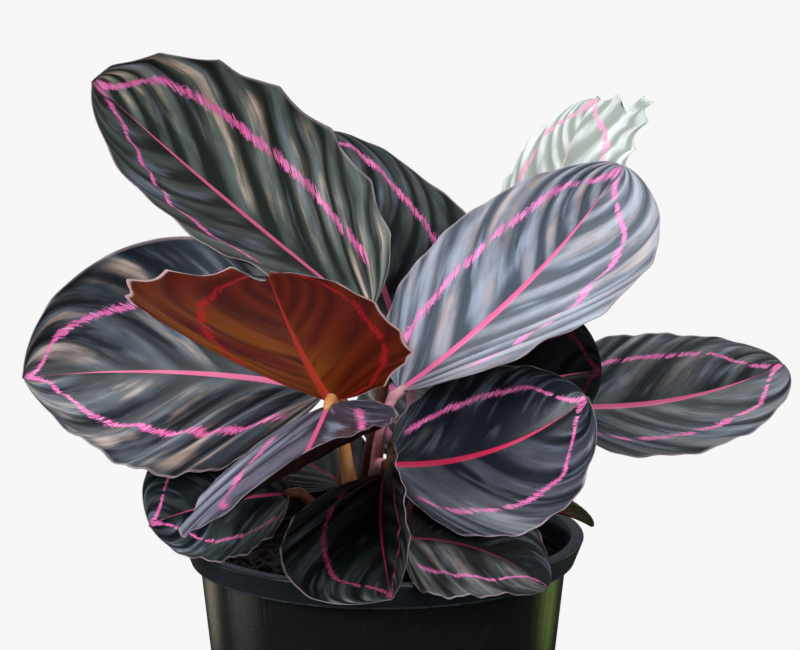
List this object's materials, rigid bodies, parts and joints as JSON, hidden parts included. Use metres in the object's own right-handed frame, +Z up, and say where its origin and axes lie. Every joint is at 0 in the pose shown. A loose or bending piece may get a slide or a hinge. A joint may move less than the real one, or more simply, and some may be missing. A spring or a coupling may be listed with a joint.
{
  "type": "potted foliage plant",
  "caption": "Potted calathea: broad dark leaves with pink rings and midribs on thin red petioles, rising from soil in a round black nursery pot.",
  "frame": {"origin": "centre of the pot's flat base, on the surface the pot stands on", "axes": "+Z up along the pot's axis; -Y towards the viewer of the plant's shown side, +X to that viewer's right"},
  "size_m": [0.3372, 0.2792, 0.3372],
  "materials": {
    "pot_plastic": "thin black moulded plastic with a soft sheen",
    "potting_soil": "dark crumbly peat and bark, fully rough",
    "leaf_blade": "glossy black-green upper side with a pink ring and midrib, maroon underside",
    "leaf_pale": "pale young leaf, near-white green with pink lines",
    "leaf_young": "rolled young leaf, green with a dry brown tip",
    "petiole": "satin red-brown stalk"
  },
  "bodies": {
    "root": {"nursery_pot": "pot_plastic", "soil": "potting_soil", "blade_high_left": "leaf_blade", "petiole_high_left": "petiole", "blade_high_back": "leaf_blade", "petiole_high_back": "petiole", "blade_wide_left": "leaf_blade", "petiole_wide_left": "petiole", "blade_turned": "leaf_blade", "petiole_turned": "petiole", "blade_folded_front": "leaf_blade", "petiole_folded_front": "petiole", "blade_high_right": "leaf_blade", "petiole_high_right": "petiole", "blade_front_right": "leaf_blade", "petiole_front_right": "petiole", "blade_far_right": "leaf_blade", "petiole_far_right": "petiole", "blade_pale_back": "leaf_pale", "petiole_pale_back": "petiole", "blade_shaded_right": "leaf_blade", "petiole_shaded_right": "petiole", "blade_low_left": "leaf_blade", "petiole_low_left": "petiole", "blade_low_front": "leaf_blade", "petiole_low_front": "petiole", "blade_low_right": "leaf_blade", "petiole_low_right": "petiole", "blade_back_left": "leaf_blade", "petiole_back_left": "petiole", "blade_back_centre": "leaf_blade", "petiole_back_centre": "petiole", "blade_back_right": "leaf_blade", "petiole_back_right": "petiole", "blade_sprig": "leaf_young", "petiole_sprig": "petiole"}
  },
  "joints": []
}
